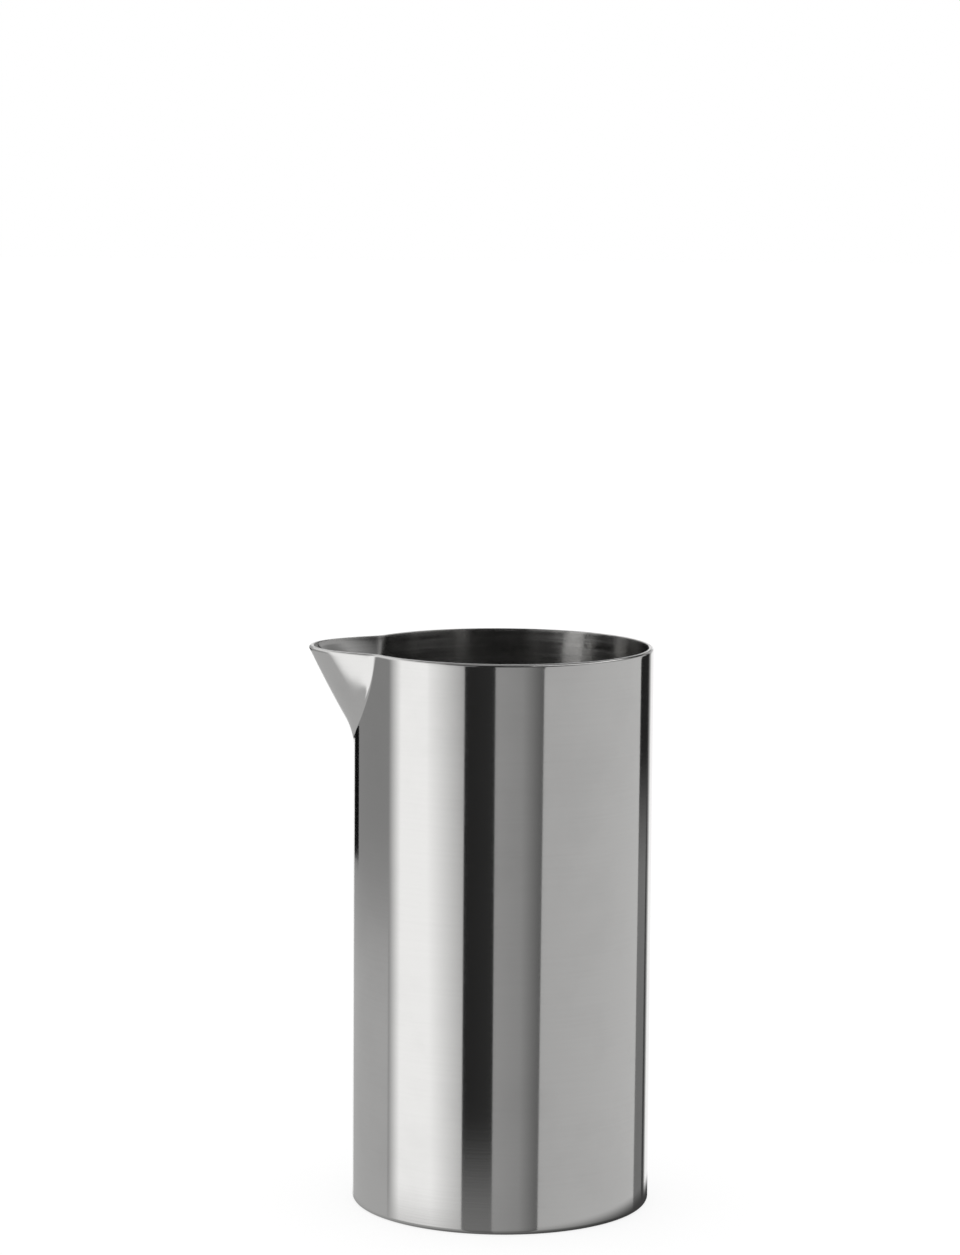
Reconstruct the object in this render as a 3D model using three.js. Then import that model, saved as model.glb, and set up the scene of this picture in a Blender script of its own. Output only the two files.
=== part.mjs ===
// A small straight-sided milk jug in stainless sheet steel: a tube with a spout pressed out of its rim,
// closed below by a pressed base that a ground-flush ring of weld metal joins to it.
// Millimetres, +Z up. The origin is the centre of the underside, and the spout points along -X.
import * as THREE from "three";

// Driving dimensions
const OUTER_DIAMETER = 50;
const HEIGHT = 94; // underside to the top of the lip
const WALL = 0.8; // sheet thickness of the tube and the base
const BASE_HEIGHT = 4; // underside to the edge of the base that is welded
const BASE_CORNER = 1.5; // outside radius between the underside and the side
const TIGHTEST_BEND = 0.3; // least inside radius of that corner, whatever the wall
const WELD_HEIGHT = 1;
const SPOUT_REACH = 7.5; // the tip's overhang beyond the tube, at the foot of the rounded lip
const SPOUT_DEPTH = 14.8; // rim down to where the line of the spout's front meets the tube
const SPOUT_RADIUS = 12.8; // the spout's nose, seen from above
const FLANK_FILLET = 5.5; // hollow curve between the nose and the tube, seen from above
const ROOT_FILLET = 10; // hollow curve between the spout's front and the tube, seen from the side

// Fineness of the facets
const TURN_STEPS = 72; // steps round the base and the weld
const CORNER_STEPS = 2; // pairs of steps round the base's corner
const FINE_STEPS = 36; // round the tube, across the spout and its flanks
const COARSE_STEPS = 36; // round the rest of the tube
const FINE_MARGIN = 9; // degrees that the fine steps go on past the flanks
const SPOUT_LEVELS = 12; // rings from the foot of the spout up to the lip
const LIP_STEPS = 6; // over the rounded lip

// Dimensions worked out from the driving ones
const TUBE_RADIUS = OUTER_DIAMETER / 2;
const INNER_CORNER = Math.max(BASE_CORNER - WALL, TIGHTEST_BEND);
const TUBE_FOOT = BASE_HEIGHT + WELD_HEIGHT;
const LIP_RADIUS = WALL / 2;
const LIP_FOOT = HEIGHT - LIP_RADIUS;
const SPOUT_SLOPE = SPOUT_REACH / (SPOUT_DEPTH - LIP_RADIUS);
const SPOUT_ROOT = HEIGHT - SPOUT_DEPTH;
const ROOT_BLEND = (ROOT_FILLET * SPOUT_SLOPE) / 2; // height of the root's curve, above and below the root
const FILLET_CENTRE = TUBE_RADIUS + FLANK_FILLET; // from the jug's axis

function steel(color, roughness) {
  return new THREE.MeshStandardMaterial({ color, roughness, metalness: 1 });
}

// A closed profile of radius and height, turned about the jug's axis.
function turned(profile, material, name) {
  const geometry = new THREE.LatheGeometry(profile, TURN_STEPS);
  geometry.rotateX(Math.PI / 2);
  const mesh = new THREE.Mesh(geometry, material);
  mesh.name = name;
  return mesh;
}

// The pressed base: a shallow cup with a flat bottom and a rounded corner.
function baseCup() {
  const inside = TUBE_RADIUS - WALL;
  const profile = new THREE.Path();
  profile.moveTo(0, 0);
  profile.lineTo(TUBE_RADIUS - BASE_CORNER, 0);
  profile.absarc(TUBE_RADIUS - BASE_CORNER, BASE_CORNER, BASE_CORNER, -Math.PI / 2, 0, false);
  profile.lineTo(TUBE_RADIUS, BASE_HEIGHT);
  profile.lineTo(inside, BASE_HEIGHT);
  profile.lineTo(inside, WALL + INNER_CORNER);
  profile.absarc(inside - INNER_CORNER, WALL + INNER_CORNER, INNER_CORNER, 0, -Math.PI / 2, true);
  profile.lineTo(0, WALL);
  return turned(profile.getPoints(CORNER_STEPS), steel(0xb4b2ae, 0.25), "base_cup");
}

// The weld between the base's edge and the foot of the tube.
function weldRing() {
  const inside = TUBE_RADIUS - WALL;
  const profile = [
    new THREE.Vector2(inside, BASE_HEIGHT),
    new THREE.Vector2(TUBE_RADIUS, BASE_HEIGHT),
    new THREE.Vector2(TUBE_RADIUS, TUBE_FOOT),
    new THREE.Vector2(inside, TUBE_FOOT),
    new THREE.Vector2(inside, BASE_HEIGHT),
  ];
  return turned(profile, steel(0xb0aeaa, 0.3), "weld_ring");
}

// How far the spout's front stands out of the tube at a height: straight, with a curve at the root.
function spoutReach(height) {
  const above = height - SPOUT_ROOT;
  if (above <= -ROOT_BLEND) {
    return 0;
  }
  if (above >= ROOT_BLEND) {
    return SPOUT_SLOPE * above;
  }
  return (SPOUT_SLOPE * (above + ROOT_BLEND) ** 2) / (4 * ROOT_BLEND);
}

// From the jug's axis to the centre of the nose's arc.
function noseCentre(height) {
  return TUBE_RADIUS + spoutReach(height) - SPOUT_RADIUS;
}

// The angle from the tip to the end of the hollow fillet, where the outline is back on the tube's circle.
function flankAngle(height) {
  const nose = noseCentre(height);
  const between = SPOUT_RADIUS + FLANK_FILLET;
  const cosine = (FILLET_CENTRE ** 2 + nose ** 2 - between ** 2) / (2 * FILLET_CENTRE * nose);
  return Math.acos(Math.min(cosine, 1));
}

// The tube's radius at an angle from the tip and at a height, on a surface set in from the outer one.
// Seen from above, the outline is the nose's arc, a hollow fillet and the tube's circle, each tangent
// to the next.
function sectionRadius(angle, height, inset) {
  const turn = Math.abs(angle);
  const centre = noseCentre(height);
  const nose = SPOUT_RADIUS - inset;
  const fillet = FLANK_FILLET + inset;
  const flank = flankAngle(height);
  if (turn >= flank) {
    return TUBE_RADIUS - inset;
  }
  const share = nose / (nose + fillet);
  const noseEnd = Math.atan2(
    share * FILLET_CENTRE * Math.sin(flank),
    centre + share * (FILLET_CENTRE * Math.cos(flank) - centre),
  );
  if (turn >= noseEnd) {
    const across = FILLET_CENTRE * Math.sin(flank - turn);
    return FILLET_CENTRE * Math.cos(flank - turn) - Math.sqrt(fillet ** 2 - across ** 2);
  }
  return centre * Math.cos(turn) + Math.sqrt(nose ** 2 - (centre * Math.sin(turn)) ** 2);
}

// Angles round the tube, from one side of the spout, across its tip and round the back.
function tubeAngles() {
  const half = flankAngle(LIP_FOOT) + THREE.MathUtils.degToRad(FINE_MARGIN);
  const angles = [];
  for (let i = 0; i < FINE_STEPS; i++) {
    angles.push(THREE.MathUtils.lerp(-half, half, i / FINE_STEPS));
  }
  for (let i = 0; i < COARSE_STEPS; i++) {
    angles.push(THREE.MathUtils.lerp(half, 2 * Math.PI - half, i / COARSE_STEPS));
  }
  return angles;
}

// Heights of the rings of one side of the wall, from the foot of the tube to the foot of the lip.
function wallHeights() {
  const spoutFoot = SPOUT_ROOT - ROOT_BLEND;
  const heights = [TUBE_FOOT];
  for (let i = 0; i <= SPOUT_LEVELS; i++) {
    heights.push(THREE.MathUtils.lerp(spoutFoot, LIP_FOOT, i / SPOUT_LEVELS));
  }
  return heights;
}

// The wall's rings in order: up the outside, over the rounded lip and down the inside.
function wallRings() {
  const heights = wallHeights();
  const rings = heights.map((height) => ({ height, inset: 0 }));
  for (let i = 1; i < LIP_STEPS; i++) {
    const over = (Math.PI * i) / LIP_STEPS;
    rings.push({
      height: LIP_FOOT + LIP_RADIUS * Math.sin(over),
      inset: LIP_RADIUS * (1 - Math.cos(over)),
    });
  }
  for (const height of heights.toReversed()) {
    rings.push({ height, inset: WALL });
  }
  return rings;
}

// The tube with its spout. The last ring joins the first, which closes the foot.
function wallTube() {
  const rings = wallRings();
  const angles = tubeAngles();
  const around = angles.length;
  const positions = [];
  const indices = [];
  rings.forEach(({ height, inset }, ring) => {
    const first = ring * around;
    const above = ((ring + 1) % rings.length) * around;
    angles.forEach((angle, i) => {
      // The lip keeps the outline that the spout has at the lip's foot.
      const radius = sectionRadius(angle, Math.min(height, LIP_FOOT), inset);
      positions.push(-radius * Math.cos(angle), -radius * Math.sin(angle), height);
      const j = (i + 1) % around;
      indices.push(first + i, first + j, above + j);
      indices.push(first + i, above + j, above + i);
    });
  });
  const geometry = new THREE.BufferGeometry();
  geometry.setAttribute("position", new THREE.Float32BufferAttribute(positions, 3));
  geometry.setIndex(indices);
  geometry.computeVertexNormals();
  const mesh = new THREE.Mesh(geometry, steel(0xb8b6b2, 0.18));
  mesh.name = "wall_tube";
  return mesh;
}

const jug = new THREE.Group();
jug.add(baseCup(), weldRing(), wallTube());

export default jug;
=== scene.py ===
"""Milk jug: the finished steel surfaces, the studio and the camera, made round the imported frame.

Metres, +Z up. The origin is the centre of the underside, and the spout points along -X.
"""
import cmath
import math
from typing import NamedTuple

import bmesh
import bpy
from bpy.props import FloatProperty, FloatVectorProperty, PointerProperty
from mathutils import Matrix, Vector


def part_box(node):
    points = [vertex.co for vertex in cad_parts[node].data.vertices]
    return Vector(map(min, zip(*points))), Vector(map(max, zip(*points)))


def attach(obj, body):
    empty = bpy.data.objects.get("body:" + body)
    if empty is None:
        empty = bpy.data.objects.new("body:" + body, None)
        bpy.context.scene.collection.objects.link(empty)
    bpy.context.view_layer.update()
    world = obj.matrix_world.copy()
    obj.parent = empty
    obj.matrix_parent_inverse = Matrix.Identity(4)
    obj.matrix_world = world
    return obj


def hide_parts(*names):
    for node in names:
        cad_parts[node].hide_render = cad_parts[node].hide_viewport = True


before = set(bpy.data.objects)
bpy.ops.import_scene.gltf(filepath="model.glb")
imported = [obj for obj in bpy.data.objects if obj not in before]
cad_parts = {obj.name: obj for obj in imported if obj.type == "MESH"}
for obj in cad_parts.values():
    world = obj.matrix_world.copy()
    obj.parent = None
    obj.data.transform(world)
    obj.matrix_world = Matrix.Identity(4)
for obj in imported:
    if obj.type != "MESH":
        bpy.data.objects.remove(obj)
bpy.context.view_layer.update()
TUBE_LOW, TUBE_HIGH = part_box("wall_tube")
CUP_LOW, CUP_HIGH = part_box("base_cup")
RING_LOW, RING_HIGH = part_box("weld_ring")

bl_info = {
    "name": "Milk jug",
    "version": (1, 0, 0),
    "blender": (4, 5, 0),
    "location": "View3D > Sidebar > Jug",
    "description": "Models a straight steel milk jug with a pressed spout, and a studio to show it in",
    "category": "Add Mesh",
}

# Fineness of the meshes
TURN_STEPS = 480  # round the jug
SPOUT_LEVELS = 40  # rings from the foot of the spout to the lip
TUBE_LEVELS = 8  # rings below the spout
LIP_STEPS = 6  # over each edge of the lip
CORNER_STEPS = 12  # round the base's outer corner
FLOOR_RINGS = 6  # across the base's floor and underside
SMOOTH_ANGLE = math.radians(35)
MERGE_DISTANCE = 1e-6
TINY = 1e-5  # slack in tests of place


# Sizes, finishes and studio settings


def length(name, description, default):
    return FloatProperty(
        name=name,
        description=description,
        default=default,
        min=0,
        unit="LENGTH",
        subtype="DISTANCE",
        precision=5,
    )


def share(name, description, default):
    return FloatProperty(
        name=name, description=description, default=default, min=0, max=1, subtype="FACTOR"
    )


class JugSizes(bpy.types.PropertyGroup):
    """Sizes of the jug's three pieces."""

    diameter: length("Diameter", "Outside diameter of the tube", CUP_HIGH.y - CUP_LOW.y)
    height: length("Height", "Underside to the top of the lip", TUBE_HIGH.z)
    wall: length("Wall", "Thickness of the sheet", 0.0008)
    lip_round: length("Lip round", "Radius of the lip's outer edge", 0.0004)
    lip_edge: length("Lip edge", "Radius of the lip's inner edge", 0.0001)
    tube_foot: length("Tube foot", "Underside to the foot of the tube", TUBE_LOW.z)
    base_height: length("Base height", "Underside to the edge of the base", CUP_HIGH.z)
    base_corner: length("Base corner", "Outside radius of the base's corner", 0.0015)
    tightest_bend: length("Tightest bend", "Least inside radius of that corner", 0.0003)
    weld_foot: length("Weld foot", "Underside to the foot of the weld", RING_LOW.z)
    weld_top: length("Weld top", "Underside to the top of the weld", RING_HIGH.z)
    spout_tip: length("Spout tip", "From the jug's axis to the tip of the spout", -TUBE_LOW.x)
    spout_depth: length("Spout depth", "Rim down to where the spout's front meets the tube", 0.0148)
    spout_radius: length("Spout radius", "Radius of the spout's nose, seen from above", 0.0115)
    nose_swell: length("Nose swell", "How much more that radius is half way up the spout", 0.0009)
    nose_half: FloatProperty(
        name="Nose half",
        description="From the tip round the nose to where its flank begins",
        default=math.radians(50),
        subtype="ANGLE",
    )
    flank_radius: length("Flank radius", "The gentle curve of the flank beside the nose", 0.030)
    flank_fillet: length("Flank fillet", "Hollow between the flank and the tube, at the rim", 0.0045)
    flank_foot: length("Flank foot", "The same hollow at the foot of the spout", 0.0008)
    root_fillet: length("Root fillet", "Hollow between the spout's front and the tube", 0.010)
    spout_bow: length("Spout bow", "How far the spout's front swells out of straight", 0.00013)


class JugFinish(bpy.types.PropertyGroup):
    """Colour and polish of the steel."""

    steel: FloatVectorProperty(
        name="Steel",
        description="Colour that the steel reflects",
        default=(0.745, 0.74, 0.73),
        min=0,
        max=1,
        subtype="COLOR",
    )
    outside_roughness: share("Outside", "Roughness of the satin outside", 0.07)
    pressed_roughness: share("Pressed", "Roughness that pressing adds to the outside of the spout", 0.1)
    lip_roughness: share("Lip", "Roughness of the rounded lip", 0.14)
    inside_roughness: share("Inside", "Roughness of the brushed inside", 0.17)
    turned_roughness: share("Bottom", "Roughness of the turned floor and underside", 0.26)


class JugStudio(bpy.types.PropertyGroup):
    """The camera and the light."""

    camera_place: FloatVectorProperty(
        name="Camera place",
        description="Where the camera stands",
        default=(-0.00087, -0.65135, 0.17497),
        subtype="TRANSLATION",
        unit="LENGTH",
    )
    pitch: FloatProperty(
        name="Pitch",
        description="How far the camera looks down",
        default=math.radians(6.824),
        subtype="ANGLE",
    )
    yaw: FloatProperty(
        name="Yaw",
        description="How far the camera looks to the right",
        default=math.radians(-0.275),
        subtype="ANGLE",
    )
    roll: FloatProperty(
        name="Roll",
        description="How far the camera leans",
        default=math.radians(0.4),
        subtype="ANGLE",
    )
    lens: FloatProperty(
        name="Lens",
        description="Focal length on a 36 mm sensor",
        default=112.9,
        subtype="DISTANCE_CAMERA",
    )
    floor_colour: FloatVectorProperty(
        name="Floor",
        description="Colour of the floor",
        default=(0.25, 0.25, 0.25),
        min=0,
        max=1,
        subtype="COLOR",
    )
    daylight: FloatProperty(
        name="Daylight", description="Strength of the soft light from all round", default=1
    )
    floor_lift: FloatProperty(
        name="Floor lift", description="White that the camera sees on the floor besides", default=0.79
    )


# Mesh tools


def start_section(name, low, high):
    """A flat rectangle in the XZ plane between two corners, given as x and z, left in edit mode."""
    bpy.ops.object.select_all(action="DESELECT")
    middle = ((low[0] + high[0]) / 2, 0, (low[1] + high[1]) / 2)
    bpy.ops.mesh.primitive_plane_add(size=1, location=middle, rotation=(math.pi / 2, 0, 0))
    section = bpy.context.object
    section.name = name
    section.data.name = name
    section.scale = (high[0] - low[0], high[1] - low[1], 1)
    bpy.ops.object.transform_apply(location=True, rotation=True, scale=True)
    bpy.ops.object.mode_set(mode="EDIT")
    return section


def pick(kind, test):
    """Selects the vertices, edges or faces in edit mode whose middle passes a test, and no others."""
    bpy.ops.mesh.select_mode(type=kind)
    bpy.ops.mesh.select_all(action="DESELECT")
    mesh = bpy.context.object.data
    shape = bmesh.from_edit_mesh(mesh)
    if kind == "VERT":
        places = [(vertex, vertex.co) for vertex in shape.verts]
    elif kind == "EDGE":
        places = [(edge, (edge.verts[0].co + edge.verts[1].co) / 2) for edge in shape.edges]
    else:
        places = [(face, face.calc_center_median()) for face in shape.faces]
    for part, place in places:
        if test(place):
            part.select_set(True)
    bmesh.update_edit_mesh(mesh)


def bare_outline():
    """Leaves only the outline of a section in edit mode, all of it selected."""
    bpy.ops.mesh.select_all(action="SELECT")
    bpy.ops.mesh.remove_doubles(threshold=MERGE_DISTANCE)
    bpy.ops.mesh.select_all(action="SELECT")
    bpy.ops.mesh.delete(type="ONLY_FACE")
    bpy.ops.mesh.select_all(action="SELECT")


def split_edges(pieces, test):
    """Splits each edge whose middle passes a test into equal pieces."""
    pick("EDGE", test)
    bpy.ops.mesh.subdivide(number_cuts=pieces - 1)


def turn_section():
    """Turns the outline in edit mode once round the jug's axis, as a closed skin facing outwards."""
    bpy.ops.mesh.select_all(action="SELECT")
    bpy.ops.mesh.spin(steps=TURN_STEPS, angle=2 * math.pi, center=(0, 0, 0), axis=(0, 0, 1))
    bpy.ops.mesh.select_all(action="SELECT")
    bpy.ops.mesh.remove_doubles(threshold=MERGE_DISTANCE)
    bpy.ops.mesh.normals_make_consistent(inside=False)
    bpy.ops.object.mode_set(mode="OBJECT")


def wear(piece, materials, choose):
    """Gives a piece its materials, each face the one that a function picks from its middle."""
    names = list(materials)
    for name in names:
        piece.data.materials.append(materials[name])
    for face in piece.data.polygons:
        face.material_index = names.index(choose(face.center))


def seat(piece, node):
    """Smooths a finished piece and puts it in the place of a node of the frame."""
    bpy.ops.object.select_all(action="DESELECT")
    piece.select_set(True)
    bpy.context.view_layer.objects.active = piece
    bpy.ops.object.shade_smooth_by_angle(angle=SMOOTH_ANGLE)
    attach(piece, "root")
    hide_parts(node)


# Shape of the spout

FILLET_FADE = 6  # how soon the hollow beside the flank tightens below the rim


def reach_of(centre, radius, turn):
    """Distance from the axis to the far side of an arc, or to its near side if the radius is minus."""
    turned = centre * cmath.rect(1, -turn)
    return turned.real + math.copysign(math.sqrt(radius**2 - turned.imag**2), radius)


class Spout:
    """The outline of the tube and its spout, seen from above, at each height."""

    def __init__(self, sizes):
        self.tube = sizes.diameter / 2
        self.lip_foot = sizes.height - sizes.lip_round
        self.root = sizes.height - sizes.spout_depth
        self.slope = (sizes.spout_tip - self.tube) / (self.lip_foot - self.root)
        self.blend = sizes.root_fillet * self.slope / 2
        self.foot = self.root - self.blend
        self.bow = sizes.spout_bow
        self.nose = sizes.spout_radius
        self.swell = sizes.nose_swell
        self.nose_half = sizes.nose_half
        self.flank = sizes.flank_radius
        self.fillet = sizes.flank_fillet
        self.fillet_foot = sizes.flank_foot

    def hump(self, height):
        """0 at the root's curve and at the lip, 1 half way between them."""
        part = (height - self.root - self.blend) / (self.lip_foot - self.root - self.blend)
        return 4 * part * (1 - part) if part > 0 else 0

    def reach(self, height):
        """How far the spout's front stands out of the tube: straight, with a curve at the root."""
        above = height - self.root
        if above <= -self.blend:
            return 0
        if above >= self.blend:
            return self.slope * above + self.bow * self.hump(height)
        return self.slope * (above + self.blend) ** 2 / (4 * self.blend)

    def arcs(self, height):
        """The arcs of the outline, each as a centre and a radius: nose, flank and hollow fillet.

        Centres are complex numbers, real towards the tip. Each arc is tangent to the next, and the
        fillet to the tube's circle. Low down the fillet touches the nose, and there is no flank.
        """
        nose = self.nose + self.swell * self.hump(height)
        nose_centre = complex(self.tube + self.reach(height) - nose)
        flank_centre = nose_centre + cmath.rect(nose - self.flank, self.nose_half)
        part = (height - self.foot) / (self.lip_foot - self.foot)
        fillet = self.fillet_foot + (self.fillet - self.fillet_foot) * part**FILLET_FADE
        fillet_centre = self.touching(nose_centre, nose, fillet)
        if cmath.phase(fillet_centre - nose_centre) > self.nose_half:
            fillet_centre = self.touching(flank_centre, self.flank, fillet)
        else:
            flank_centre = None
        return (nose_centre, nose), (flank_centre, self.flank), (fillet_centre, fillet)

    def touching(self, centre, radius, fillet):
        """Centre of the fillet that touches an arc of the spout and the tube's circle from outside."""
        far = self.tube + fillet
        near = abs(centre)
        cosine = (far**2 + near**2 - (radius + fillet) ** 2) / (2 * far * near)
        return cmath.rect(far, cmath.phase(centre) + math.acos(min(cosine, 1)))

    def radius(self, angle, height, inset):
        """Distance from the axis at an angle from the tip, on a skin set in from the outer one."""
        turn = abs(angle)
        (nose_centre, nose), (flank_centre, flank), (fillet_centre, fillet) = self.arcs(height)
        if turn >= cmath.phase(fillet_centre):
            return self.tube - inset
        last = nose_centre if flank_centre is None else flank_centre
        facing = cmath.phase(fillet_centre - last)
        if turn >= cmath.phase(fillet_centre - cmath.rect(fillet + inset, facing)):
            return reach_of(fillet_centre, -fillet - inset, turn)
        if flank_centre is not None:
            flank_start = nose_centre + cmath.rect(nose - inset, self.nose_half)
            if turn >= cmath.phase(flank_start):
                return reach_of(flank_centre, flank - inset, turn)
        return reach_of(nose_centre, nose - inset, turn)

    def press(self, mesh):
        """Presses the spout out of a plain tube. The lip keeps the outline of its own foot."""
        for vertex in mesh.vertices:
            x, y, height = vertex.co
            if height <= self.foot:
                continue
            angle = math.atan2(-y, -x)
            inset = self.tube - math.hypot(x, y)
            radius = self.radius(angle, min(height, self.lip_foot), inset)
            vertex.co.x = -radius * math.cos(angle)
            vertex.co.y = -radius * math.sin(angle)


# Materials

PRESSED_FROM = (0.0003, 0.0015)  # out of the tube, where the pressed surface begins and is at its full
SMUDGE_SCALE = 70
SMUDGE_FROM = (0.42, 0.7)  # noise at which a smudge begins and is at its full
SMUDGE_ROUGHNESS = 0.012
SMUDGE_SHADE = 0.2
SPECK_SCALE = 1500
SPECKS_FROM = (0.7, 0.8)  # noise at which a speck begins and is at its full
SPECK_DEPTH = 3e-7
NOISE_MIDDLE = 0.5
DARK_SHARE = 0.8  # of the steel's colour, left where the shade is full
QUARTER_TURN = 0.25  # from the surface's own direction to that of its lines


def linked(tree, value, socket):
    """Joins a socket to another one, or sets it to a plain value."""
    if isinstance(value, bpy.types.NodeSocket):
        tree.links.new(value, socket)
    else:
        socket.default_value = value


def reckon(tree, operation, *values):
    """One Math node, and its result."""
    step = tree.nodes.new("ShaderNodeMath")
    step.operation = operation
    for socket, value in zip(step.inputs, values):
        linked(tree, value, socket)
    return step.outputs[0]


def spread(tree, value, low, high, to_low, to_high, smooth=False):
    """A Map Range node, clamped, and its result."""
    step = tree.nodes.new("ShaderNodeMapRange")
    step.interpolation_type = "SMOOTHSTEP" if smooth else "LINEAR"
    for name, setting in {
        "Value": value,
        "From Min": low,
        "From Max": high,
        "To Min": to_low,
        "To Max": to_high,
    }.items():
        linked(tree, setting, step.inputs[name])
    return step.outputs["Result"]


def cloud(tree, place, scale, detail, roughness):
    """A Noise texture on a place, and its value."""
    step = tree.nodes.new("ShaderNodeTexNoise")
    linked(tree, place, step.inputs["Vector"])
    step.inputs["Scale"].default_value = scale
    step.inputs["Detail"].default_value = detail
    step.inputs["Roughness"].default_value = roughness
    return step.outputs["Fac"]


def new_group(name, inputs, outputs):
    """An empty node group with named sockets, and its two end nodes."""
    group = bpy.data.node_groups.new(name, "ShaderNodeTree")
    for label, kind in inputs.items():
        group.interface.new_socket(label, in_out="INPUT", socket_type=kind)
    for label, kind in outputs.items():
        group.interface.new_socket(label, in_out="OUTPUT", socket_type=kind)
    return group, group.nodes.new("NodeGroupInput"), group.nodes.new("NodeGroupOutput")


def split(tree, place):
    """The three parts of a place."""
    step = tree.nodes.new("ShaderNodeSeparateXYZ")
    tree.links.new(place, step.inputs[0])
    return step.outputs


def from_axis(tree, parts):
    """Distance from the jug's axis, from the parts of a place."""
    squares = [reckon(tree, "POWER", part, 2) for part in parts[:2]]
    return reckon(tree, "SQRT", reckon(tree, "ADD", *squares))


def turned_lines():
    """Fine lines that run round the jug: level rings, or circles where Flat is 1."""
    group, start, end = new_group(
        "Turned lines",
        {
            "Place": "NodeSocketVector",
            "Across": "NodeSocketFloat",
            "Along": "NodeSocketFloat",
            "Flat": "NodeSocketFloat",
        },
        {"Lines": "NodeSocketFloat"},
    )
    parts = split(group, start.outputs["Place"])
    x, y, z = parts
    path = reckon(group, "MULTIPLY_ADD", from_axis(group, parts), start.outputs["Flat"], z)
    stretched = group.nodes.new("ShaderNodeCombineXYZ")
    linked(group, reckon(group, "MULTIPLY", x, start.outputs["Along"]), stretched.inputs[0])
    linked(group, reckon(group, "MULTIPLY", y, start.outputs["Along"]), stretched.inputs[1])
    linked(group, reckon(group, "MULTIPLY", path, start.outputs["Across"]), stretched.inputs[2])
    lines = cloud(group, stretched.outputs[0], scale=1, detail=3, roughness=0.6)
    group.links.new(lines, end.inputs["Lines"])
    return group


def pressed_sheet():
    """1 where the sheet is pressed out of a tube, 0 on the tube itself."""
    group, start, end = new_group(
        "Pressed sheet",
        {"Place": "NodeSocketVector", "Tube": "NodeSocketFloat"},
        {"Pressed": "NodeSocketFloat"},
    )
    distance = from_axis(group, split(group, start.outputs["Place"]))
    out = reckon(group, "SUBTRACT", distance, start.outputs["Tube"])
    group.links.new(spread(group, out, *PRESSED_FROM, 0, 1, True), end.inputs["Pressed"])
    return group


def handling_marks():
    """Soft smudges from hands and a few small specks."""
    group, start, end = new_group(
        "Handling marks",
        {"Place": "NodeSocketVector"},
        {"Smudge": "NodeSocketFloat", "Specks": "NodeSocketFloat"},
    )
    place = start.outputs["Place"]
    soft = cloud(group, place, scale=SMUDGE_SCALE, detail=4, roughness=0.55)
    fine = cloud(group, place, scale=SPECK_SCALE, detail=1, roughness=0.5)
    group.links.new(spread(group, soft, *SMUDGE_FROM, 0, 1, True), end.inputs["Smudge"])
    group.links.new(spread(group, fine, *SPECKS_FROM, 0, 1, True), end.inputs["Specks"])
    return group


class Finish(NamedTuple):
    """How one surface of the steel is worked."""

    name: str
    roughness: float
    across: float  # lines per metre
    along: float  # breaks in a line per metre
    depth: float  # height of the lines
    streak: float  # how much rougher a line is than the next
    shade: float  # how much darker a line is than the next
    drawn: float = 0  # how far the lines draw out a highlight across themselves
    flat: float = 0  # 1 where the lines are circles on a level surface
    pressed: float = 0  # how much rougher the surface is where it is pressed out of the tube
    dull_and_shade: float = 1  # how much of the steel's colour is kept: partly a duller surface, partly painted shade on the dim inside of the jug


TURNED = {
    "across": 2500,
    "along": 25,
    "depth": 4e-6,
    "streak": 0.15,
    "shade": 0.4,
    "drawn": 0.8,
    "flat": 1,
}


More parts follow.
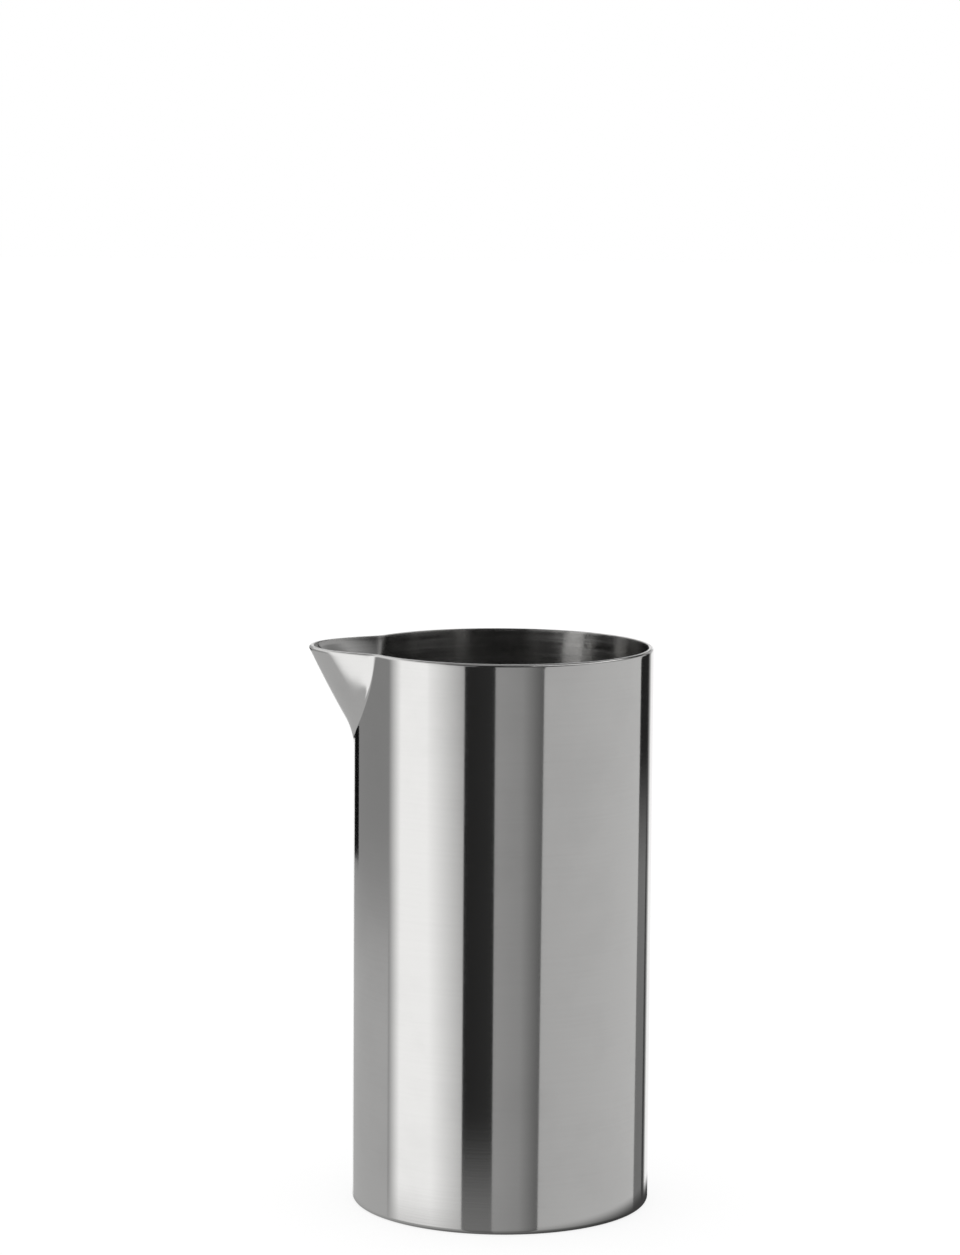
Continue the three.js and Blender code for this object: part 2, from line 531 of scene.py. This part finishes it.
def steel(finish, colour, tube, groups):
    """Steel with one finish: lines round the jug, smudges and specks, and a colour share that stands
    partly for duller steel and partly for painted shade.
    """
    # Painted shade: the colour is darkened by the finish's share, partly for duller steel, partly for
    # the dim inside of the jug.
    colour = [part * finish.dull_and_shade for part in colour]
    material = bpy.data.materials.new(finish.name)
    material.use_nodes = True
    tree = material.node_tree
    shader = tree.nodes["Principled BSDF"]
    shader.inputs["Metallic"].default_value = 1
    shader.inputs["Anisotropic"].default_value = finish.drawn
    shader.inputs["Anisotropic Rotation"].default_value = QUARTER_TURN
    place = tree.nodes.new("ShaderNodeTexCoord").outputs["Object"]
    lines = tree.nodes.new("ShaderNodeGroup")
    lines.node_tree = groups["lines"]
    tree.links.new(place, lines.inputs["Place"])
    lines.inputs["Across"].default_value = finish.across
    lines.inputs["Along"].default_value = finish.along
    lines.inputs["Flat"].default_value = finish.flat
    line = lines.outputs["Lines"]
    marks = tree.nodes.new("ShaderNodeGroup")
    marks.node_tree = groups["marks"]
    tree.links.new(place, marks.inputs["Place"])
    smudge = marks.outputs["Smudge"]
    smear = reckon(tree, "MULTIPLY_ADD", smudge, SMUDGE_ROUGHNESS, finish.roughness)
    centred = reckon(tree, "SUBTRACT", line, NOISE_MIDDLE)
    worked = reckon(tree, "MULTIPLY_ADD", centred, finish.streak, smear)
    if finish.pressed:
        sheet = tree.nodes.new("ShaderNodeGroup")
        sheet.node_tree = groups["sheet"]
        tree.links.new(place, sheet.inputs["Place"])
        sheet.inputs["Tube"].default_value = tube
        worked = reckon(tree, "MULTIPLY_ADD", sheet.outputs["Pressed"], finish.pressed, worked)
    tree.links.new(worked, shader.inputs["Roughness"])
    tone = tree.nodes.new("ShaderNodeMix")
    tone.data_type = "RGBA"
    tone.inputs["A"].default_value = (*colour, 1)
    tone.inputs["B"].default_value = (*[part * DARK_SHARE for part in colour], 1)
    dulled = reckon(tree, "MULTIPLY", smudge, SMUDGE_SHADE)
    tree.links.new(reckon(tree, "MULTIPLY_ADD", line, finish.shade, dulled), tone.inputs["Factor"])
    tree.links.new(tone.outputs["Result"], shader.inputs["Base Color"])
    specks = reckon(tree, "MULTIPLY", marks.outputs["Specks"], SPECK_DEPTH)
    bump = tree.nodes.new("ShaderNodeBump")
    bump.inputs["Distance"].default_value = 1
    tree.links.new(reckon(tree, "MULTIPLY_ADD", line, finish.depth, specks), bump.inputs["Height"])
    tree.links.new(bump.outputs["Normal"], shader.inputs["Normal"])
    return material


def jug_materials(finish, tube):
    """The steel's finishes by name, made once and shared by the three pieces."""
    if "satin_outside" not in bpy.data.materials:
        groups = {"lines": turned_lines(), "marks": handling_marks(), "sheet": pressed_sheet()}
        for surface in (
            Finish(
                "satin_outside",
                finish.outside_roughness,
                across=2800,
                along=50,
                depth=1.2e-6,
                streak=0.06,
                shade=0.2,
                pressed=finish.pressed_roughness,
            ),
            Finish(
                "polished_lip",
                finish.lip_roughness,
                across=6000,
                along=200,
                depth=4e-7,
                streak=0.04,
                shade=0.1,
            ),
            Finish(
                "brushed_inside",
                finish.inside_roughness,
                across=1800,
                along=30,
                depth=3e-6,
                streak=0.25,
                shade=0.5,
                drawn=0.65,
                # The inside's colour is darkened: partly duller brushed steel, partly painted shade of
                # the dim inside.
                dull_and_shade=0.78,
            ),
            # The floor inside the cup is darkened too: partly duller turned steel, partly painted shade
            # of the dim inside.
            Finish("turned_floor", finish.turned_roughness, dull_and_shade=0.82, **TURNED),
            Finish("turned_underside", finish.turned_roughness, **TURNED),
            Finish(
                "ground_weld",
                finish.inside_roughness,
                across=6000,
                along=600,
                depth=3e-6,
                streak=0.15,
                shade=0.4,
                drawn=0.5,
            ),
        ):
            steel(surface, finish.steel, tube, groups)
    return bpy.data.materials


def chosen(materials, *names):
    return {name: materials[name] for name in names}


# The jug's pieces


class JUG_OT_wall(bpy.types.Operator):
    """Turns the tube with its rounded lip and presses the spout out of it"""

    bl_idname = "jug.wall"
    bl_label = "Wall and spout"

    def execute(self, context):
        sizes = context.scene.jug_sizes
        spout = Spout(sizes)
        outer = -spout.tube
        inner = outer + sizes.wall
        wall = start_section("jug_wall", (outer, sizes.tube_foot), (inner, sizes.height))
        top = sizes.height - TINY
        pick("VERT", lambda place: place.z > top and place.x < outer + TINY)
        bpy.ops.mesh.bevel(offset=sizes.lip_round, segments=LIP_STEPS, affect="VERTICES")
        pick("VERT", lambda place: place.z > top and place.x > inner - TINY)
        bpy.ops.mesh.bevel(offset=sizes.lip_edge, segments=LIP_STEPS, affect="VERTICES")
        bare_outline()
        bpy.ops.mesh.bisect(plane_co=(0, 0, spout.foot), plane_no=(0, 0, 1))
        bpy.ops.mesh.select_all(action="SELECT")
        split_edges(
            SPOUT_LEVELS, lambda place: spout.foot + TINY < place.z < spout.lip_foot - TINY
        )
        split_edges(
            TUBE_LEVELS, lambda place: sizes.tube_foot + TINY < place.z < spout.foot - TINY
        )
        turn_section()

        def surface(place):
            if math.hypot(place.x, place.y) < TINY - inner:
                return "brushed_inside"
            return "polished_lip" if place.z > spout.lip_foot else "satin_outside"

        finishes = chosen(
            jug_materials(context.scene.jug_finish, spout.tube),
            "satin_outside",
            "polished_lip",
            "brushed_inside",
        )
        wear(wall, finishes, surface)
        spout.press(wall.data)
        seat(wall, "wall_tube")
        return {"FINISHED"}


class JUG_OT_base(bpy.types.Operator):
    """Turns the pressed base: a shallow cup with a flat bottom and a rounded corner"""

    bl_idname = "jug.base"
    bl_label = "Base"

    def execute(self, context):
        sizes = context.scene.jug_sizes
        outer = -sizes.diameter / 2
        inner = outer + sizes.wall
        floor = sizes.wall
        inner_corner = max(sizes.base_corner - sizes.wall, sizes.tightest_bend)
        base = start_section("jug_base", (outer, 0), (0, floor))
        bpy.ops.mesh.select_all(action="SELECT")
        bpy.ops.mesh.bisect(plane_co=(inner, 0, 0), plane_no=(1, 0, 0))
        pick("EDGE", lambda place: place.z > floor - TINY and place.x < inner - TINY)
        bpy.ops.mesh.extrude_region_move(
            TRANSFORM_OT_translate={"value": (0, 0, sizes.base_height - floor)}
        )
        bpy.ops.mesh.select_all(action="SELECT")
        bpy.ops.mesh.dissolve_faces()
        pick("VERT", lambda place: place.z < TINY and place.x < outer + TINY)
        bpy.ops.mesh.bevel(offset=sizes.base_corner, segments=CORNER_STEPS, affect="VERTICES")
        pick("VERT", lambda place: abs(place.z - floor) < TINY and abs(place.x - inner) < TINY)
        bpy.ops.mesh.bevel(offset=inner_corner, segments=CORNER_STEPS, affect="VERTICES")
        bare_outline()
        pick("EDGE", lambda place: place.x > -TINY)
        bpy.ops.mesh.delete(type="EDGE")
        flat = outer + max(sizes.base_corner, sizes.wall + inner_corner)
        split_edges(FLOOR_RINGS, lambda place: flat + TINY < place.x < -TINY)
        turn_section()
        side = -inner - TINY

        def surface(place):
            if place.z < TINY:
                return "turned_underside"
            if math.hypot(place.x, place.y) > side or place.z < floor / 2:
                return "satin_outside"
            return "turned_floor" if place.z < floor + TINY else "brushed_inside"

        finishes = chosen(
            jug_materials(context.scene.jug_finish, -outer),
            "satin_outside",
            "turned_underside",
            "turned_floor",
            "brushed_inside",
        )
        wear(base, finishes, surface)
        seat(base, "base_cup")
        return {"FINISHED"}


class JUG_OT_weld(bpy.types.Operator):
    """Turns the ring of weld metal between the base and the tube, ground flush"""

    bl_idname = "jug.weld"
    bl_label = "Weld"

    def execute(self, context):
        sizes = context.scene.jug_sizes
        outer = -sizes.diameter / 2
        inner = outer + sizes.wall
        weld = start_section("jug_weld", (outer, sizes.weld_foot), (inner, sizes.weld_top))
        bare_outline()
        turn_section()
        side = -outer - TINY

        def surface(place):
            return "satin_outside" if math.hypot(place.x, place.y) > side else "ground_weld"

        finishes = chosen(
            jug_materials(context.scene.jug_finish, -outer), "satin_outside", "ground_weld"
        )
        wear(weld, finishes, surface)
        seat(weld, "weld_ring")
        return {"FINISHED"}


# The studio

CARD_FOOT = -0.75
CARD_STEP = 2  # degrees between the edges of a curved card
STRIP_WIDTH = 0.1  # of the strip that a card's first edge is cut from
DISC_SIDES = 96
TABLE_TONE = 0.47
SKY_TOP = 1.1
CONTACT_TONE = 0.06
CONTACT_MIDDLE = (0.003, 0.001)
CONTACT_FADE = (0.0235, 0.0305)
FLOOR_SIZE = 12
SENSOR_WIDTH = 36
NEAR_CLIP = 0.01


class Card(NamedTuple):
    """A curved card that stands round the jug and shows only in its steel.

    Angles are in degrees from the camera's side, minus to the left. The tones at its two ends blend
    across it, shifted to the left by the slant for each metre of height, and below the turn they give
    way softly to the lower tone. A card that leans has its foot turned that much further round than
    its top.
    """

    name: str
    start: float
    end: float
    start_tone: float
    end_tone: float
    foot: float = CARD_FOOT
    top: float = 0.1
    lower: float | None = None
    turn: tuple = (-0.2, -0.1)
    distance: float = 0.9
    lean: float = 0
    slant: float = 0


class Disc(NamedTuple):
    """A level disc that shows only in the steel, with one tone in its middle and one at its rim."""

    name: str
    radius: float
    height: float
    middle_tone: float
    rim_tone: float
    change: tuple  # distances from the axis between which the tone changes


SOFTBOX = {
    "foot": -0.4,
    "top": 0.18,
    "lower": TABLE_TONE,
    "turn": (-0.087, -0.066),
    "distance": 0.3,
}
CARDS = (
    Card("left_flag", -160, -145, 0.005, 0.005, foot=-0.1, distance=0.89),
    Card("left_fill", -162, -80, 0.27, 0.27, lower=TABLE_TONE, turn=(-0.16, -0.08)),
    Card("softbox_edge", -94, -81.5, 0.3, 1.12, **SOFTBOX),
    Card("softbox", -81.5, -57, 1.12, 1.12, **SOFTBOX),
    Card("softbox_tail", -57, -20, 1.12, 0.36, slant=0.3, **SOFTBOX),
    Card(
        "front_flag", -28.3, -5.8, 0.02, 0.03, foot=-0.4, lower=0.2, turn=(-0.075, -0.045), distance=0.29
    ),
    Card("front_fill", -9, 14, 0.36, 0.31, distance=0.91),
    Card("front_fade", 14, 34, 0.31, 0.07),
    Card("right_fill", 31.6, 133, 0.5, 0.6, distance=0.895, lean=-7),
    Card(
        "right_flag", 131, 148, 0.02, 0.02, lower=0.2, turn=(-0.11, -0.05), distance=0.89, lean=-12
    ),
    Card("right_flag_edge", 147.5, 157, 0.05, 1, lean=-12, distance=0.885),
    Card("right_low_edge", 42, 76, 0.02, 0.58, foot=0.1, top=0.45),
    Card("right_high_edge", 0, 76, 0.1, 0.2, foot=0.45, top=0.72),
    Card("right_high", 76, 139, 0.18, 0.18, foot=0.1, top=0.72, lower=0.56, turn=(0.27, 0.4)),
    Card("right_roof", 25, 139, 1.25, 1.25, foot=0.72, top=SKY_TOP),
    Card("back_high", 147, 165, 0.5, 0.5, foot=0.1, top=0.45, distance=0.93),
    Card("upper_softbox", -98, -50, 1.1, 0.5, foot=0.1, top=SKY_TOP, distance=0.94),
    Card("upper_front", -98, 150, 0.004, 0.004, foot=0.1, top=SKY_TOP, distance=0.95),
    Card("upper_left", -170, -98, 0.4, 0.4, foot=0.1, top=0.4, distance=0.95),
    Card("high_left", -170, -98, 0.8, 0.8, foot=0.4, top=SKY_TOP, distance=0.95),
    Card("upper_back", 150, 190, 0.01, 0.3, foot=0.24, top=SKY_TOP, distance=0.95),
)
DISCS = (
    Disc("under_card", 0.9, CARD_FOOT, 0.3, TABLE_TONE, (0.3, 0.9)),
    Disc("over_card", 0.95, SKY_TOP, 0.25, 0.25, (0.2, 0.9)),
)


def glow(name, tone):
    """A plain light, whose strength a function works out with nodes of its own."""
    material = bpy.data.materials.new(name)
    material.use_nodes = True
    tree = material.node_tree
    tree.nodes.clear()
    light = tree.nodes.new("ShaderNodeEmission")
    linked(tree, tone(tree), light.inputs["Strength"])
    output = tree.nodes.new("ShaderNodeOutputMaterial")
    tree.links.new(light.outputs[0], output.inputs["Surface"])
    return material


def place_parts(tree):
    """The three parts of Object coordinates."""
    return split(tree, tree.nodes.new("ShaderNodeTexCoord").outputs["Object"])


def show_in_steel_only(thing):
    """Hides a stage piece from everything but reflections."""
    thing.visible_camera = False
    thing.visible_diffuse = False
    thing.visible_transmission = False
    thing.visible_volume_scatter = False
    thing.visible_shadow = False


def stand_card(card):
    """One curved card, spun clockwise from an upright edge at its right end."""
    left = -card.distance
    edge = start_section(card.name, (left, card.foot), (left + STRIP_WIDTH, card.top))
    pick("VERT", lambda place: place.x > left + TINY)
    bpy.ops.mesh.delete(type="VERT")
    bpy.ops.object.mode_set(mode="OBJECT")
    edge.rotation_euler.z = math.radians(card.end + 90)
    bpy.ops.object.transform_apply(location=False, rotation=True, scale=False)
    bpy.ops.object.mode_set(mode="EDIT")
    bpy.ops.mesh.select_all(action="SELECT")
    angle = math.radians(card.end - card.start)
    steps = math.ceil((card.end - card.start) / CARD_STEP)
    bpy.ops.mesh.spin(steps=steps, angle=angle, center=(0, 0, 0), axis=(0, 0, 1))
    bpy.ops.object.mode_set(mode="OBJECT")
    for vertex in edge.data.vertices:
        if vertex.co.z < card.foot + TINY:
            vertex.co.rotate(Matrix.Rotation(math.radians(card.lean), 3, "Z"))

    def tone(tree):
        x, y, z = place_parts(tree)
        middle = math.radians((card.start + card.end) / 2)
        sideways = reckon(
            tree,
            "ADD",
            reckon(tree, "MULTIPLY", x, math.cos(middle)),
            reckon(tree, "MULTIPLY", y, math.sin(middle)),
        )
        sideways = reckon(tree, "MULTIPLY_ADD", z, card.slant, sideways)
        half = card.distance * math.sin(angle / 2)
        across = spread(tree, sideways, -half, half, card.start_tone, card.end_tone)
        if card.lower is None:
            return across
        return spread(tree, z, *card.turn, card.lower, across, True)

    edge.data.materials.append(glow(card.name, tone))
    show_in_steel_only(edge)


def add_round(name, radius, place):
    """A flat round sheet, about a place."""
    bpy.ops.object.select_all(action="DESELECT")
    bpy.ops.mesh.primitive_circle_add(
        vertices=DISC_SIDES, radius=radius, fill_type="NGON", location=place
    )
    sheet = bpy.context.object
    sheet.name = name
    return sheet


def lay_disc(disc):
    """One level disc over or under the jug."""
    sheet = add_round(disc.name, disc.radius, (0, 0, disc.height))
    bpy.ops.object.transform_apply(location=True, rotation=False, scale=False)

    def tone(tree):
        distance = from_axis(tree, place_parts(tree))
        return spread(tree, distance, *disc.change, disc.middle_tone, disc.rim_tone, True)

    sheet.data.materials.append(glow(disc.name, tone))
    show_in_steel_only(sheet)


def lay_contact_shade():
    """The dark of the floor close round the foot, which shows only in the steel."""
    shade = add_round("contact_shade", CONTACT_FADE[1], (*CONTACT_MIDDLE, 0))
    material = glow("contact_shade", lambda tree: CONTACT_TONE)
    tree = material.node_tree
    clear = spread(tree, from_axis(tree, place_parts(tree)), *CONTACT_FADE, 0, 1, True)
    mix = tree.nodes.new("ShaderNodeMixShader")
    linked(tree, clear, mix.inputs["Fac"])
    tree.links.new(tree.nodes["Emission"].outputs[0], mix.inputs[1])
    tree.links.new(tree.nodes.new("ShaderNodeBsdfTransparent").outputs[0], mix.inputs[2])
    tree.links.new(mix.outputs[0], tree.nodes["Material Output"].inputs["Surface"])
    shade.data.materials.append(material)
    show_in_steel_only(shade)


def lay_floor(colour, lift):
    """A wide pale floor, which the camera sees as white outside the jug's shadow."""
    bpy.ops.object.select_all(action="DESELECT")
    bpy.ops.mesh.primitive_plane_add(size=FLOOR_SIZE)
    floor = bpy.context.object
    floor.name = "floor"
    material = bpy.data.materials.new("floor_paper")
    material.use_nodes = True
    tree = material.node_tree
    shader = tree.nodes["Principled BSDF"]
    shader.inputs["Base Color"].default_value = (*colour, 1)
    shader.inputs["Roughness"].default_value = 1
    shader.inputs["Emission Color"].default_value = (1, 1, 1, 1)
    seen = tree.nodes.new("ShaderNodeLightPath").outputs["Is Camera Ray"]
    linked(tree, reckon(tree, "MULTIPLY", seen, lift), shader.inputs["Emission Strength"])
    shader.inputs["Specular IOR Level"].default_value = 0
    floor.data.materials.append(material)
    floor.visible_glossy = False


def set_daylight(strength):
    """White where the camera and the steel look, and soft light from all round elsewhere."""
    world = bpy.data.worlds.new("studio")
    bpy.context.scene.world = world
    world.use_nodes = True
    world.cycles.sampling_method = "NONE"  # so that the cards hide the white behind them from the steel
    tree = world.node_tree
    tree.nodes.clear()
    path = tree.nodes.new("ShaderNodeLightPath")
    seen = reckon(
        tree,
        "MAXIMUM",
        path.outputs["Is Camera Ray"],
        reckon(
            tree, "MAXIMUM", path.outputs["Is Glossy Ray"], path.outputs["Is Transmission Ray"]
        ),
    )
    backdrop = tree.nodes.new("ShaderNodeBackground")
    backdrop.inputs["Color"].default_value = (1, 1, 1, 1)
    linked(tree, spread(tree, seen, 0, 1, strength, 1), backdrop.inputs["Strength"])
    output = tree.nodes.new("ShaderNodeOutputWorld")
    tree.links.new(backdrop.outputs[0], output.inputs["Surface"])


def set_camera(studio):
    sin, cos = math.sin, math.cos
    ahead = Vector(
        (sin(studio.yaw) * cos(studio.pitch), cos(studio.yaw) * cos(studio.pitch), -sin(studio.pitch))
    )
    level = Vector((cos(studio.yaw), -sin(studio.yaw), 0))
    upright = level.cross(ahead)
    right = cos(studio.roll) * level + sin(studio.roll) * upright
    above = cos(studio.roll) * upright - sin(studio.roll) * level
    bpy.ops.object.camera_add()
    camera = bpy.context.object
    camera.name = "camera"
    camera.data.lens = studio.lens
    camera.data.sensor_width = SENSOR_WIDTH
    turned = Matrix((right, above, -ahead)).transposed().to_4x4()
    camera.matrix_world = Matrix.Translation(studio.camera_place) @ turned
    camera.data.clip_start = NEAR_CLIP
    bpy.context.scene.camera = camera


class JUG_OT_stage(bpy.types.Operator):
    """Sets up the floor, the light, the cards that the steel reflects and the camera"""

    bl_idname = "jug.stage"
    bl_label = "Studio"

    def execute(self, context):
        studio = context.scene.jug_studio
        context.scene.view_settings.view_transform = "Standard"
        set_camera(studio)
        lay_floor(studio.floor_colour, studio.floor_lift)
        set_daylight(studio.daylight)
        for card in CARDS:
            stand_card(card)
        for disc in DISCS:
            lay_disc(disc)
        lay_contact_shade()
        return {"FINISHED"}


class JUG_PT_panel(bpy.types.Panel):
    """Lists the jug's pieces and its settings"""

    bl_idname = "JUG_PT_panel"
    bl_label = "Milk jug"
    bl_space_type = "VIEW_3D"
    bl_region_type = "UI"
    bl_category = "Jug"

    def draw(self, context):
        layout = self.layout
        for maker in MAKERS:
            layout.operator(maker.bl_idname)
        for group in ("jug_sizes", "jug_finish", "jug_studio"):
            settings = getattr(context.scene, group)
            box = layout.box()
            for name in settings.__annotations__:
                box.prop(settings, name)


MAKERS = (JUG_OT_stage, JUG_OT_wall, JUG_OT_base, JUG_OT_weld)
CLASSES = (JugSizes, JugFinish, JugStudio, *MAKERS, JUG_PT_panel)


def register():
    for cls in CLASSES:
        bpy.utils.register_class(cls)
    bpy.types.Scene.jug_sizes = PointerProperty(type=JugSizes)
    bpy.types.Scene.jug_finish = PointerProperty(type=JugFinish)
    bpy.types.Scene.jug_studio = PointerProperty(type=JugStudio)


def unregister():
    del bpy.types.Scene.jug_studio
    del bpy.types.Scene.jug_finish
    del bpy.types.Scene.jug_sizes
    for cls in reversed(CLASSES):
        bpy.utils.unregister_class(cls)


def main():
    register()
    bpy.ops.jug.stage()
    bpy.ops.jug.wall()
    bpy.ops.jug.base()
    bpy.ops.jug.weld()


if __name__ == "__main__":
    main()
